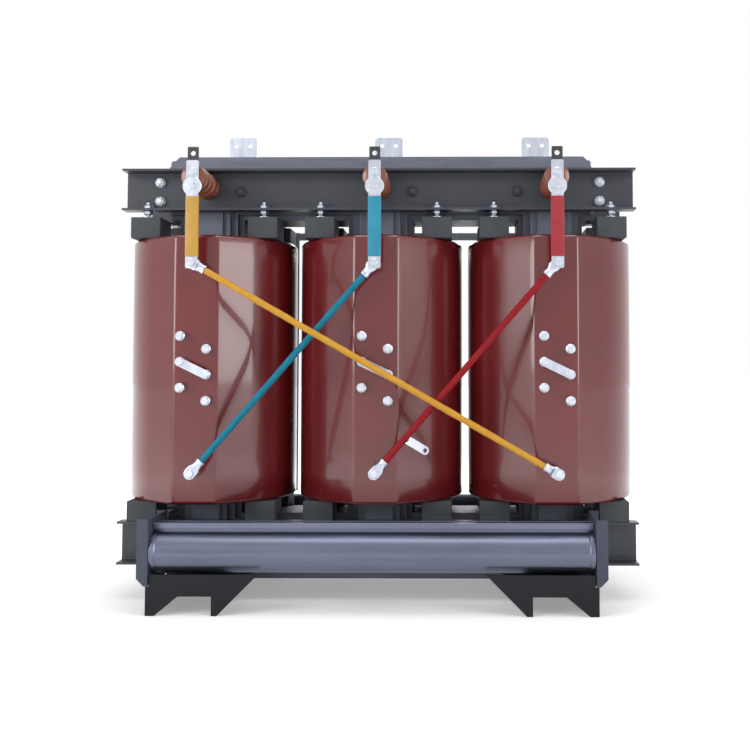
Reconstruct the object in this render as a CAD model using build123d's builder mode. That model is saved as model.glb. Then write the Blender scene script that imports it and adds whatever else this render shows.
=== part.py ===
"""Three-phase cast-resin dry type transformer, in millimetres.

+X runs along the core to the right, the high-voltage side faces -Y and +Z is up.
The origin is on the ground at the centre of the base.
"""
import math
import os

from build123d import *

os.makedirs("parts", exist_ok=True)

# ---- Driving dimensions: core ----
phase_pitch = 500        # centre distance of the three limbs
core_radius = 118        # circle that encloses the stepped limb section
packet_widths = (190, 160, 120, 80)   # lamination widths, middle packet first
yoke_overhang = 25       # yoke length beyond the outer limb
bottom_yoke_z = 137      # centre line of the bottom yoke
top_yoke_z = 1186        # centre line of the top yoke
yoke_bevel = 20          # bevel on the outer yoke corners
board_thickness = 5      # pressboard between yoke and clamp

# ---- Clamps ----
clamp_half_length = 737
clamp_height = 120
clamp_flange = 55
clamp_sheet = 6
lower_clamp_z = 160      # mid-height of the lower clamps
upper_clamp_z = 1167     # mid-height of the upper clamps
end_bolt_x = 640
end_bolt_rise = 28       # end bolts above and below the web's middle
yoke_bolt_places = (-404, 96, 400)
bolt_radius = 8
bolt_clearance = 1
nut_width = 24           # across flats
nut_height = 10

# ---- Windings ----
winding_bottom = 278
winding_top = 1026
lv_inner_radius = 124
lv_outer_radius = 162
hv_inner_radius = 185
hv_outer_radius = 241
panel_width = 118        # flat raised panel on the front of each HV coil
panel_y = 252            # distance of the panel from the coil axis
rim_bevel = 10

# ---- Pads and pressure studs ----
pad_offset = 168         # from coil axis to pad centre
pad_width = 85
pad_inner_y = 60
pad_outer_y = 170
pad_yoke_clearance = 4
stud_y = 145
stud_top = 1139

# ---- HV connections ----
bar_width = 34
bar_thickness = 6
bar_y = 295              # back face of the HV bars
bar_bottom = 926
bar_top = 1224
terminal_top_z = 942
terminal_bottom_z = 367
terminal_radius = 15
sleeve_bottom = 958
sleeve_top = 1124
sleeve_wall = 1.5
tab_thickness = 4
tab_width = 30.5
tab_top = 1262
tab_hole_z = 1244
tab_hole_radius = 7
post_z = 1180
post_radius = 35
post_bolt_low = 1152
post_bolt_high = 1192
disc_radius = 26
link_radius = 10         # sleeved delta link
lug_thickness = 4
lug_width = 26
lug_length = 46

# ---- Tap field ----
tap_x = 36
tap_rows_left = (742, 671, 600)
tap_rows_right = (706.5, 636, 564)
tap_radius = 14
tap_reach = 23           # insert height above the panel
tap_link_width = 24
tap_link_thickness = 4
spare_link_run = 60      # spare link on the middle coil's flank: along the flank
spare_link_fall = 33     # and downward
spare_link_offset = 61   # from the panel's edge, along the flank
spare_link_z = 440

# ---- LV connections ----
lv_bar_width = 92
lv_bar_thickness = 8
lv_bar_y = 286           # mid-plane of the rising LV bars
lv_bar_top = 1420
lv_bar_level = 1060      # height at which the bar passes under the clamp
lv_bar_shift = 14        # outer bars stand this much nearer the middle
lv_hole_radius = 7
lv_hole_spacing = 45
lv_hole_drop = 27
start_offset = 190       # start riser from the coil axis
start_width = 40
start_y = 240
start_thickness = 10
start_bottom = 258       # clear of the fan brackets
start_top = 1096
neutral_height = 24

# ---- Fans and feet ----
fan_radius = 55.5
fan_y = 295
fan_z = 159
fan_half_length = 593
bracket_width = 30
bracket_sheet = 3
bracket_bottom = 78
bracket_top = 253
outlet_top = 239
outlet_width = 62
motor_radius = 46
motor_length = 28
foot_x = 505             # centre of each foot rail
foot_width = 190
foot_height = 38         # under the core
foot_tall = 57           # outside the core
foot_wall = 6
foot_dropped = 95        # half length of the low middle stretch
foot_half_length = 345
foot_heel = 24           # length of the outer heel on the ground
foot_arch = 86           # from the outer edge to the top of the arch
end_plate = 8
end_plate_top = 108
end_plate_reach = 108    # gusset beyond the inner edge

# ---- Values worked out from the driving dimensions ----
phases = (-phase_pitch, 0, phase_pitch)
phase_names = ("left", "middle", "right")
colour_names = ("yellow", "blue", "red")
stack_half = math.sqrt(core_radius**2 - (packet_widths[-1] / 2) ** 2)
web_y = stack_half + board_thickness
flange_y = web_y + clamp_flange
yoke_half_length = phase_pitch + packet_widths[0] / 2 + yoke_overhang
lower_clamp_top = lower_clamp_z + clamp_height / 2
upper_clamp_bottom = upper_clamp_z - clamp_height / 2
yoke_bottom_face = top_yoke_z - packet_widths[0] / 2
top_pad_top = yoke_bottom_face - pad_yoke_clearance
lug_y_front = bar_y + bar_thickness          # yellow lugs lie in front of the bars
lug_y_back = bar_y - lug_thickness           # blue and red lugs lie behind them


def slab(x0, x1, y0, y1, z0, z1, mode=Mode.ADD):
    """A plate between two corners, added to the part that is being built."""
    with Locations(((x0 + x1) / 2, (y0 + y1) / 2, (z0 + z1) / 2)):
        Box(x1 - x0, abs(y1 - y0), z1 - z0, mode=mode)


def pin_y(x, z, y0, y1, radius, mode=Mode.ADD):
    """A round pin or hole along Y, added to the part that is being built."""
    with Locations(Location((x, (y0 + y1) / 2, z), (90, 0, 0))):
        Cylinder(radius, abs(y1 - y0), mode=mode)


def rod_y(x, z, y0, y1, radius, sides):
    """A many-sided rod along Y; the pieces that repeat use it to stay light."""
    with BuildSketch(Plane((x, min(y0, y1), z), x_dir=(1, 0, 0), z_dir=(0, 1, 0))) as section:
        RegularPolygon(radius, sides)
    extrude(section.sketch, amount=abs(y1 - y0))


def hexagon_y(x, z, y0, y1, width=nut_width):
    """A hexagon head or nut along Y."""
    with BuildSketch(Plane((x, min(y0, y1), z), x_dir=(1, 0, 0), z_dir=(0, 1, 0))) as head:
        RegularPolygon(width / 2, 6, major_radius=False)
    extrude(head.sketch, amount=abs(y1 - y0))


def save(part, name):
    """Label a finished piece and write its STEP file."""
    part.label = name
    export_step(part, f"parts/{name}.step")


# ---- Core: stepped laminated limbs keyed into notched yokes ----
def packet_layers():
    """Each packet's width with the depth range it fills on one side of the middle."""
    layers = []
    inner = 0
    for width in packet_widths:
        outer = math.sqrt(core_radius**2 - (width / 2) ** 2)
        layers.append((width, inner, outer))
        inner = outer
    return layers


def limb(x):
    with BuildPart() as piece:
        for width, inner, outer in packet_layers():
            half = width / 2
            with BuildSketch(Plane.XZ.offset(-outer)):
                with BuildLine():
                    Polyline(
                        (x, bottom_yoke_z), (x + half, bottom_yoke_z + half),
                        (x + half, top_yoke_z - half), (x, top_yoke_z),
                        (x - half, top_yoke_z - half), (x - half, bottom_yoke_z + half),
                        close=True,
                    )
                make_face()
            extrude(amount=2 * outer)
    return piece.part


def yoke(z, side):
    """side is 1 for the top yoke, whose notches open downward, and -1 for the bottom."""
    with BuildPart() as piece:
        for width, inner, outer in packet_layers():
            half = width / 2
            bevel = max(yoke_bevel - (packet_widths[0] - width) / 2, 1)
            face = z - side * half
            back = z + side * half
            with BuildSketch(Plane.XZ.offset(-outer)):
                with BuildLine():
                    Polyline(
                        (-yoke_half_length, face), (yoke_half_length, face),
                        (yoke_half_length, back - side * bevel),
                        (yoke_half_length - bevel, back),
                        (bevel - yoke_half_length, back),
                        (-yoke_half_length, back - side * bevel),
                        close=True,
                    )
                make_face()
            extrude(amount=2 * outer)
        for width, inner, outer in reversed(packet_layers()):
            half = width / 2
            for y0, y1 in ((inner, outer), (-outer, -inner)):
                with BuildSketch(Plane.XZ.offset(-y1)):
                    for x in phases:
                        with BuildLine():
                            Polyline(
                                (x, z), (x + half, z - side * half),
                                (x - half, z - side * half), close=True,
                            )
                        make_face()
                extrude(amount=y1 - y0, mode=Mode.SUBTRACT)
        bolt_z = upper_clamp_z if side > 0 else lower_clamp_z
        for x in yoke_bolt_places:
            pin_y(x, bolt_z, -stack_half - 1, stack_half + 1, bolt_radius + bolt_clearance, Mode.SUBTRACT)
    return piece.part


for x, name in zip(phases, phase_names):
    save(limb(x), f"core_limb_{name}")
save(yoke(bottom_yoke_z, -1), "core_bottom_yoke")
save(yoke(top_yoke_z, 1), "core_top_yoke")

with BuildPart() as boards:
    for z in (lower_clamp_z, upper_clamp_z):
        for y0, y1 in ((stack_half, web_y), (-web_y, -stack_half)):
            slab(-yoke_half_length, yoke_half_length, y0, y1, z - 40, z + 40)
        for x in yoke_bolt_places:
            pin_y(x, z, -web_y - 1, web_y + 1, bolt_radius + bolt_clearance, Mode.SUBTRACT)
save(boards.part, "yoke_press_boards")


# ---- Clamps: folded channels with their backs against the yokes ----
def clamp(z, front, stud_holes):
    with BuildPart() as piece:
        low = z - clamp_height / 2
        high = z + clamp_height / 2
        with BuildSketch(Plane.YZ.offset(-clamp_half_length)):
            with BuildLine():
                FilletPolyline(
                    (front * flange_y, high - clamp_sheet / 2),
                    (front * (web_y + clamp_sheet / 2), high - clamp_sheet / 2),
                    (front * (web_y + clamp_sheet / 2), low + clamp_sheet / 2),
                    (front * flange_y, low + clamp_sheet / 2),
                    radius=clamp_sheet,
                )
            trace(line_width=clamp_sheet)
        extrude(amount=2 * clamp_half_length)
        outer = front * (web_y + 2 * clamp_sheet)
        inner = front * (web_y - clamp_sheet)
        for x in (-end_bolt_x, end_bolt_x):
            for rise in (-end_bolt_rise, end_bolt_rise):
                pin_y(x, z + rise, inner, outer, bolt_radius + bolt_clearance, Mode.SUBTRACT)
        for x in yoke_bolt_places:
            pin_y(x, z, inner, outer, bolt_radius + bolt_clearance, Mode.SUBTRACT)
        if stud_holes:
            for x in phases:
                for offset in (-pad_offset, pad_offset):
                    with Locations((x + offset, front * stud_y, low)):
                        Cylinder(bolt_radius + bolt_clearance, 4 * clamp_sheet, mode=Mode.SUBTRACT)
    return piece.part


for z, level in ((lower_clamp_z, "lower"), (upper_clamp_z, "upper")):
    for front, side_name in ((-1, "front"), (1, "rear")):
        save(clamp(z, front, level == "upper"), f"clamp_{level}_{side_name}")


def through_bolt(x, z):
    """A bolt along Y through both clamps, with a washer and a nut at each end."""
    grip = web_y + clamp_sheet
    washer = 3
    rod_y(x, z, -grip - washer - nut_height - 4, grip + washer + nut_height + 4, bolt_radius, 12)
    for side in (-1, 1):
        rod_y(x, z, side * grip, side * (grip + washer), 15, 18)
        hexagon_y(x, z, side * (grip + washer), side * (grip + washer + nut_height))


with BuildPart() as clamp_bolts:
    for z in (lower_clamp_z, upper_clamp_z):
        for x in yoke_bolt_places:
            through_bolt(x, z)
        for x in (-end_bolt_x, end_bolt_x):
            for rise in (-end_bolt_rise, end_bolt_rise):
                through_bolt(x, z + rise)
save(clamp_bolts.part, "clamp_bolts")


# ---- Windings ----
def lv_coil(x):
    with BuildPart() as piece:
        with BuildSketch(Plane.XY.offset(winding_bottom)):
            with Locations((x, 0)):
                Circle(lv_outer_radius)
                Circle(lv_inner_radius, mode=Mode.SUBTRACT)
        extrude(amount=winding_top - winding_bottom)
    return piece.part


def flank_tangent():
    """Where the flat flank beside the panel meets the round part of an HV coil."""
    half = panel_width / 2
    reach = math.hypot(half, panel_y)
    turn = math.atan2(half, panel_y) + math.acos(hv_outer_radius / reach)
    return hv_outer_radius * math.sin(turn), -hv_outer_radius * math.cos(turn)


def hv_coil(x):
    """A cast resin ring whose front is drawn out to a flat panel for the taps."""
    half = panel_width / 2
    tangent_x, tangent_y = flank_tangent()
    with BuildPart() as piece:
        with BuildSketch(Plane.XY.offset(winding_bottom)):
            with Locations((x, 0)):
                Circle(hv_outer_radius)
            with BuildLine():
                Polyline(
                    (x - half, -panel_y), (x + half, -panel_y),
                    (x + tangent_x, tangent_y), (x - tangent_x, tangent_y), close=True,
                )
            make_face()
        extrude(amount=winding_top - winding_bottom)
        rims = piece.faces().filter_by(Axis.Z).edges()
        chamfer(rims, length=rim_bevel)
        with Locations((x, 0, (winding_bottom + winding_top) / 2)):
            Cylinder(hv_inner_radius, winding_top - winding_bottom, mode=Mode.SUBTRACT)
    return piece.part


for x, name in zip(phases, phase_names):
    save(lv_coil(x), f"lv_coil_{name}")
    save(hv_coil(x), f"hv_coil_{name}")


# ---- Support pads and pressure studs ----
pad_places = [(x + offset, side) for x in phases for offset in (-pad_offset, pad_offset) for side in (-1, 1)]
bottom_pad_step = bottom_yoke_z + packet_widths[0] / 2 + pad_yoke_clearance

with BuildPart() as bottom_pads:
    for x, side in pad_places:
        x0 = x - pad_width / 2
        x1 = x + pad_width / 2
        slab(x0, x1, side * pad_inner_y, side * pad_outer_y, bottom_pad_step, winding_bottom)
        slab(x0, x1, side * (web_y + 1), side * pad_outer_y, lower_clamp_top, bottom_pad_step)
save(bottom_pads.part, "bottom_support_pads")

with BuildPart() as top_pads:
    for x, side in pad_places:
        slab(x - pad_width / 2, x + pad_width / 2, side * pad_inner_y, side * pad_outer_y,
             winding_top, top_pad_top)
save(top_pads.part, "top_support_pads")


def pressure_stud(x, y):
    """A pointed stud that the clamp flange holds between two nuts on the top pad."""
    tip = 9
    washer = 3
    low_nut = upper_clamp_bottom - nut_height
    for bottom, top, radius, sides, taper in (
        (top_pad_top, top_pad_top + washer, 17, 18, 0),
        (top_pad_top + washer, stud_top - tip, bolt_radius, 12, 0),
        (stud_top - tip, stud_top, bolt_radius, 12, 35),
    ):
        with BuildSketch(Plane.XY.offset(bottom)) as section:
            with Locations((x, y)):
                RegularPolygon(radius, sides)
        extrude(section.sketch, amount=top - bottom, taper=taper)
    for bottom in (low_nut, upper_clamp_bottom + clamp_sheet):
        with BuildSketch(Plane.XY.offset(bottom)) as nut:
            with Locations((x, y)):
                RegularPolygon(nut_width / 2, 6, major_radius=False)
        extrude(nut.sketch, amount=nut_height)


with BuildPart() as pressure_studs:
    for x, side in pad_places:
        pressure_stud(x, side * stud_y)
save(pressure_studs.part, "pressure_studs")


# ---- HV side: bars on post insulators, tabs, sleeves and their bolts ----
post_back = web_y + clamp_sheet
post_front = bar_y - tab_thickness
post_bolt_radius = 6
fit = 0.5                # clearance round a bolt in its hole


def post_insulator(x, z, y0, y1, holes):
    """A cast post between two parallel faces, with three shallow sheds."""
    waist = post_radius - 6
    shed = 12
    length = abs(y1 - y0)
    side = 1 if y1 > y0 else -1
    start = 14
    gap = (length - 2 * start - 3 * shed) / 2
    with BuildPart() as piece:
        rod_y(x, z, y0, y0 + side * start, post_radius, 28)
        rod_y(x, z, y0, y1, waist, 28)
        for index in range(3):
            near = y0 + side * (start + index * (shed + gap))
            rod_y(x, z, near, near + side * shed, post_radius, 28)
        rod_y(x, z, y1 - side * start / 2, y1, post_radius, 28)
        for hole_z in holes:
            pin_y(x, hole_z, y1 - side * 22, y1 + side, post_bolt_radius + fit, Mode.SUBTRACT)
    return piece.part


for x, name, colour in zip(phases, phase_names, colour_names):
    save(post_insulator(x, post_z, -post_back, -post_front, (post_bolt_low, post_bolt_high)),
         f"hv_post_{name}")

    with BuildPart() as bar:
        slab(x - bar_width / 2, x + bar_width / 2, -bar_y - bar_thickness, -bar_y, bar_bottom, bar_top)
        chamfer(bar.edges().filter_by(Axis.Y), length=3)
        for z in (terminal_top_z, post_bolt_low, post_bolt_high):
            pin_y(x, z, -bar_y - bar_thickness - 1, -bar_y + 1, post_bolt_radius + fit, Mode.SUBTRACT)
    save(bar.part, f"hv_bar_{name}")

    with BuildPart() as tab:
        slab(x - tab_width / 2, x + tab_width / 2, -bar_y, -post_front, post_z - post_radius, tab_top)
        fillet(tab.edges().filter_by(Axis.Y).group_by(Axis.Z)[-1], radius=3)
        for z in (post_bolt_low, post_bolt_high):
            pin_y(x, z, -bar_y - 1, -post_front + 1, post_bolt_radius + fit, Mode.SUBTRACT)
        pin_y(x, tab_hole_z, -bar_y - 1, -post_front + 1, tab_hole_radius, Mode.SUBTRACT)
    save(tab.part, f"hv_tab_{name}")

    with BuildPart() as sleeve:
        half = bar_width / 2 + sleeve_wall
        slab(x - half, x + half, -bar_y - bar_thickness - sleeve_wall, -bar_y + sleeve_wall,
             sleeve_bottom, sleeve_top)
        fillet(sleeve.edges().filter_by(Axis.Z), radius=1.2)
        slab(x - bar_width / 2, x + bar_width / 2, -bar_y - bar_thickness, -bar_y,
             sleeve_bottom, sleeve_top, Mode.SUBTRACT)
    save(sleeve.part, f"bar_sleeve_{colour}")

with BuildPart() as post_bolts:
    face = -bar_y - bar_thickness
    for x in phases:
        for z, washer_radius in ((post_bolt_low, disc_radius), (post_bolt_high, 11)):
            rod_y(x, z, face, -post_front + 18, post_bolt_radius, 10)
            rod_y(x, z, face - 3, face, washer_radius, 24)
            hexagon_y(x, z, face - 10, face - 3, 16)
save(post_bolts.part, "hv_post_bolts")


# ---- Delta links between the coil terminals ----
class Link:
    """A sleeved round conductor from one coil's top terminal to another's bottom one."""

    def __init__(self, colour, x_top, x_bottom, lug_y, rod_y):
        self.colour = colour
        self.top = Vector(x_top, -rod_y, terminal_top_z)
        self.bottom = Vector(x_bottom, -rod_y, terminal_bottom_z)
        self.lug_y = lug_y
        self.rod_y = rod_y

    def along(self, end):
        """The direction from a terminal into the link."""
        if end == "top":
            return (self.bottom - self.top).normalized()
        return (self.top - self.bottom).normalized()


links = (
    Link("yellow", -phase_pitch, phase_pitch, lug_y_front, lug_y_front + 9),
    Link("blue", 0, -phase_pitch, lug_y_back, lug_y_back - 6),
    Link("red", phase_pitch, 0, lug_y_back, lug_y_back - 6),
)

for link in links:
    start = link.top + link.along("top") * lug_length
    end = link.bottom + link.along("bottom") * lug_length
    with BuildPart() as rod:
        with BuildSketch(Plane(start, z_dir=end - start)):
            Circle(link_radius)
        extrude(amount=(end - start).length)
    save(rod.part, f"delta_link_{link.colour}")


def lug(link, end):
    """A pressed cable lug: a flat palm with a hole, and a barrel that meets the sleeve."""
    centre = link.top if end == "top" else link.bottom
    direction = link.along(end)
    palm_back = -link.lug_y
    palm_plane = Plane((centre.X, palm_back, centre.Z), x_dir=direction, z_dir=(0, -1, 0))
    palm_length = lug_length - 18
    barrel_start = centre + direction * (palm_length - 6)
    with BuildPart() as piece:
        with BuildSketch(palm_plane):
            Circle(lug_width / 2)
            with Locations((palm_length / 2, 0)):
                Rectangle(palm_length, lug_width)
            Circle(post_bolt_radius + fit, mode=Mode.SUBTRACT)
        extrude(amount=lug_thickness)
        with BuildSketch(Plane(barrel_start, z_dir=direction)):
            Circle(link_radius - 1)
        extrude(amount=lug_length - palm_length + 6)
    return piece.part


with BuildPart() as lugs:
    for link in links:
        for end in ("top", "bottom"):
            add(lug(link, end))
save(lugs.part, "delta_lugs")

# Each terminal is a cast-in brass stud: a shoulder for the conductor, then a hexagon head.
top_shoulders = {-phase_pitch: bar_y, 0: lug_y_back, phase_pitch: lug_y_back}
top_heads = {-phase_pitch: lug_y_front + lug_thickness, 0: lug_y_front, phase_pitch: lug_y_front}
bottom_shoulders = {-phase_pitch: lug_y_back, 0: lug_y_back, phase_pitch: lug_y_front}

with BuildPart() as terminals:
    for x in phases:
        bottom_head = bottom_shoulders[x] + lug_thickness
        for z, shoulder, head in (
            (terminal_top_z, top_shoulders[x], top_heads[x]),
            (terminal_bottom_z, bottom_shoulders[x], bottom_head),
        ):
            rod_y(x, z, -panel_y, -shoulder, terminal_radius, 20)
            rod_y(x, z, -shoulder, -head, post_bolt_radius, 10)
            hexagon_y(x, z, -head - 9, -head, 20)
save(terminals.part, "hv_terminal_studs")


# ---- Tap field: two columns of studs and a link across one pair on each coil ----
tap_face = panel_y + tap_reach
linked_row = 1

with BuildPart() as tap_studs:
    for x in phases:
        for dx, rows in ((-tap_x, tap_rows_left), (tap_x, tap_rows_right)):
            for row, z in enumerate(rows):
                extra = tap_link_thickness if row == linked_row else 0
                rod_y(x + dx, z, -panel_y, -tap_face, tap_radius, 20)
                rod_y(x + dx, z, -tap_face, -tap_face - extra - 1, post_bolt_radius, 10)
                hexagon_y(x + dx, z, -tap_face - extra - 9, -tap_face - extra - 0.5, 20)
save(tap_studs.part, "tap_studs")


def flat_link(plane, length):
    """A flat copper link with rounded ends and a bolt hole at each end, centred on a plane."""
    with BuildPart() as piece:
        with BuildSketch(plane):
            SlotCenterToCenter(length, tap_link_width)
            with Locations((-length / 2, 0), (length / 2, 0)):
                Circle(post_bolt_radius + fit, mode=Mode.SUBTRACT)
        extrude(amount=tap_link_thickness)
    return piece.part


link_left = Vector(-tap_x, -tap_face, tap_rows_left[linked_row])
link_right = Vector(tap_x, -tap_face, tap_rows_right[linked_row])
panel_edge = Vector(panel_width / 2, -panel_y, spare_link_z)
flank = (Vector(*flank_tangent(), spare_link_z) - panel_edge).normalized()
spare_direction = flank * spare_link_run + Vector(0, 0, -spare_link_fall)
spare_plane = Plane(
    panel_edge + flank * spare_link_offset,
    x_dir=spare_direction,
    z_dir=flank.cross(Vector(0, 0, 1)),
)

with BuildPart() as tap_links:
    for x in phases:
        middle = (link_left + link_right) * 0.5 + Vector(x, 0, 0)
        add(flat_link(Plane(middle, x_dir=link_right - link_left, z_dir=(0, -1, 0)),
                      (link_right - link_left).length))
    add(flat_link(spare_plane, spare_direction.length))
save(tap_links.part, "tap_links")


# ---- LV side: folded busbars, their posts, start risers and the neutral bar ----
lv_back = lv_bar_y + lv_bar_thickness / 2
lv_front = lv_bar_y - lv_bar_thickness / 2
lv_exit_y = 150

for index, (x, name) in enumerate(zip(phases, phase_names)):
    bar_x = x - lv_bar_shift * (index - 1)
    with BuildPart() as riser:
        with BuildSketch(Plane.YZ.offset(bar_x - lv_bar_width / 2)):
            with BuildLine():
                FilletPolyline(
                    (lv_exit_y, winding_top), (lv_exit_y, lv_bar_level),
                    (lv_bar_y, lv_bar_level), (lv_bar_y, lv_bar_top),
                    radius=2 * lv_bar_thickness,
                )
            trace(line_width=lv_bar_thickness)
        extrude(amount=lv_bar_width)
        fillet(riser.edges().filter_by(Axis.Y).group_by(Axis.Z)[-1], radius=12)
        for dx in (-lv_hole_spacing / 2, lv_hole_spacing / 2):
            pin_y(bar_x + dx, lv_bar_top - lv_hole_drop, lv_front - 1, lv_back + 1,
                  lv_hole_radius, Mode.SUBTRACT)
    save(riser.part, f"lv_riser_{name}")
    save(post_insulator(bar_x, upper_clamp_z, post_back, lv_front, ()), f"lv_post_{name}")

lv_start_x = 40          # inner end of the start lead, from the coil axis
start_lead_z = start_bottom + 2
for x, name in zip(phases, phase_names):
    with BuildPart() as start_riser:
        with BuildSketch(Plane.XZ.offset(-start_y - start_thickness)):
            with BuildLine():
                outer_x = x + start_offset + start_width / 2
                inner_x = x + start_offset - start_width / 2
                Polyline(
                    (x + lv_start_x, start_bottom), (outer_x, start_bottom), (outer_x, start_top),
                    (inner_x, start_top), (inner_x, start_bottom + start_width),
                    (x + lv_start_x, start_bottom + start_width), close=True,
                )
            make_face()
        extrude(amount=start_thickness)
        lead_x = x + lv_start_x + 50
        slab(x + lv_start_x, lead_x, 125, start_y, start_lead_z, start_lead_z + 8)
        slab(x + lv_start_x, lead_x, 125, 133, start_lead_z, winding_bottom)
    save(start_riser.part, f"lv_start_riser_{name}")

with BuildPart() as neutral:
    slab(-phase_pitch + start_offset - start_width, phase_pitch + start_offset + start_width / 2,
         start_y + start_thickness, start_y + 2 * start_thickness, start_top - neutral_height, start_top)
save(neutral.part, "lv_neutral_bar")


# ---- Cooling fans: a long drum with an outlet nozzle between two folded brackets ----
def fan_housing(side):
    with BuildPart() as piece:
        with BuildSketch(Plane.YZ.offset(-fan_half_length)):
            with Locations((side * fan_y, fan_z)):
                Circle(fan_radius)
            with Locations((side * fan_y, (fan_z + outlet_top) / 2)):
                Rectangle(outlet_width, outlet_top - fan_z)
            with Locations((side * fan_y, outlet_top - 12)):
                Rectangle(outlet_width - 2 * bracket_sheet, 24 + 1, mode=Mode.SUBTRACT)
            lip_y = side * (fan_y + outlet_width / 2 + 6)
            with Locations((lip_y, outlet_top - 9)):
                Rectangle(12, 18)
        extrude(amount=2 * fan_half_length)
    return piece.part


def fan_bracket(side, hand):
    """A folded channel: an end plate, a front flange and a rear flange on the clamp."""
    x_inner = hand * fan_half_length
    x_outer = hand * (fan_half_length + bracket_width)
    y_front = fan_y + fan_radius
    with BuildPart() as piece:
        z_mid = (bracket_bottom + bracket_top) / 2
        height = bracket_top - bracket_bottom
        for x0, x1, y0, y1 in (
            (x_inner, x_inner + hand * bracket_sheet, flange_y, y_front),
            (x_inner, x_outer, y_front - bracket_sheet, y_front),
            (x_inner, x_outer, flange_y, flange_y + bracket_sheet),
        ):
            with Locations(((x0 + x1) / 2, side * (y0 + y1) / 2, z_mid)):
                Box(abs(x1 - x0), y1 - y0, height)
        toe = piece.edges().filter_by(Axis.Y).group_by(Axis.Z)[0]
        chamfer(toe.filter_by(lambda edge: abs(edge.center().X) > abs(x_outer) - 1), length=20)
    return piece.part


def fan_motor(side):
    """The motor's round end on the left bracket."""
    face = -fan_half_length - bracket_sheet
    with BuildPart() as piece:
        with BuildSketch(Plane.YZ.offset(face - motor_length)):
            with Locations((side * fan_y, fan_z)):
                Circle(motor_radius)
        extrude(amount=motor_length)
        chamfer(piece.edges().filter_by(GeomType.CIRCLE).group_by(Axis.X)[0], length=12)
    return piece.part


for side, side_name in ((-1, "front"), (1, "rear")):
    save(fan_housing(side), f"fan_{side_name}_housing")
    save(fan_motor(side), f"fan_{side_name}_motor")
    for hand, hand_name in ((-1, "left"), (1, "right")):
        save(fan_bracket(side, hand), f"fan_{side_name}_bracket_{hand_name}")


# ---- Feet: a rail under the core with a gusseted pedestal below each clamp ----
def foot(hand):
    """A rail that drops under the core, with an end plate at each end."""
    outer = hand * (foot_x + foot_width / 2)
    inner = hand * (foot_x - foot_width / 2)
    wall = hand * foot_wall
    heel = outer - hand * foot_heel
    arch = outer - hand * foot_arch
    clamp_bottom = lower_clamp_z - clamp_height / 2
    bracket_x = hand * (fan_half_length - bracket_sheet)
    plate_inner = inner - hand * end_plate_reach
    with BuildPart() as piece:
        for y0, y1, height in (
            (-foot_dropped, foot_dropped, foot_height),
            (-foot_half_length, -foot_dropped, foot_tall),
            (foot_dropped, foot_half_length, foot_tall),
        ):
            with BuildSketch(Plane.XZ.offset(-y1)):
                with BuildLine():
                    Polyline(
                        (outer, 0), (outer, height), (inner, height), (inner, 0),
                        (inner + 2.5 * wall, 0), (inner + 2.5 * wall, height - foot_wall),
                        (arch, height - foot_wall), (heel, 0), close=True,
                    )
                make_face()
            extrude(amount=y1 - y0)
        for side in (-1, 1):
            back = max(side * (web_y + 2 * clamp_sheet), side * flange_y)
            with BuildSketch(Plane.XZ.offset(-back)):
                with BuildLine():
                    Polyline(
                        (outer - wall, foot_tall), (outer - wall, clamp_bottom),
                        (plate_inner, clamp_bottom), (plate_inner, clamp_bottom - foot_wall),
                        (inner, foot_tall), close=True,
                    )
                make_face()
            extrude(amount=clamp_flange - 2 * clamp_sheet)
            front = max(side * foot_half_length, side * (foot_half_length - end_plate))
            with BuildSketch(Plane.XZ.offset(-front)):
                with BuildLine():
                    Polyline(
                        (outer, 0), (outer, bracket_bottom - 2), (bracket_x, bracket_bottom - 2),
                        (bracket_x, end_plate_top), (plate_inner, end_plate_top), (inner, 0),
                        (inner + 2.5 * wall, 0), (inner + 2.5 * wall, foot_tall - foot_wall),
                        (arch, foot_tall - foot_wall), (heel, 0), close=True,
                    )
                make_face()
            extrude(amount=end_plate)
    return piece.part


save(foot(-1), "foot_left")
save(foot(1), "foot_right")
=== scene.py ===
import math
import bmesh
import bpy
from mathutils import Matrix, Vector, noise


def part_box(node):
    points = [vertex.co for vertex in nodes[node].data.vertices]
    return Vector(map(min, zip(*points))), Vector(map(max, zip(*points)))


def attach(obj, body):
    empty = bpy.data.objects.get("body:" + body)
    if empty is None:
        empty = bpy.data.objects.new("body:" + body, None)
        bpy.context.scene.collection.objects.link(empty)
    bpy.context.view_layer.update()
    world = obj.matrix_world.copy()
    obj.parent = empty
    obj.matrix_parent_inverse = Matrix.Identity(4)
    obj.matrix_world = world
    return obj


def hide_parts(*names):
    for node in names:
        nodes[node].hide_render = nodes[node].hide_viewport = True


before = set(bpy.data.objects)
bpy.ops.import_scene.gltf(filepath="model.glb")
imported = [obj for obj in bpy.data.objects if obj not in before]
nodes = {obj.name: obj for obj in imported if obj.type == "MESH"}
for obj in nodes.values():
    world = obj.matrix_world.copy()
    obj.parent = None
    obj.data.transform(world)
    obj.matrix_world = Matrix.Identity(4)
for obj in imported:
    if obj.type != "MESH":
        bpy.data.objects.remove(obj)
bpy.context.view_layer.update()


# ---- Core ----
# The core is a stack of thin silicon-steel sheets, stepped to a nearly round section.
# Three limbs stand in notches of the two yokes, and the cut edges are brushed with grey varnish.
phase_names = ("left", "middle", "right")


class Wire:
    """A shader socket that takes part in Python sums."""

    def __init__(self, paint, socket):
        self.paint = paint
        self.socket = socket

    def sum(self, operation, left, right):
        return self.paint.add("ShaderNodeMath", {"operation": operation}, {0: left, 1: right})

    def __add__(self, other):
        return self.sum("ADD", self, other)

    def __radd__(self, other):
        return self.sum("ADD", other, self)

    def __mul__(self, other):
        return self.sum("MULTIPLY", self, other)

    def __rmul__(self, other):
        return self.sum("MULTIPLY", other, self)


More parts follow.
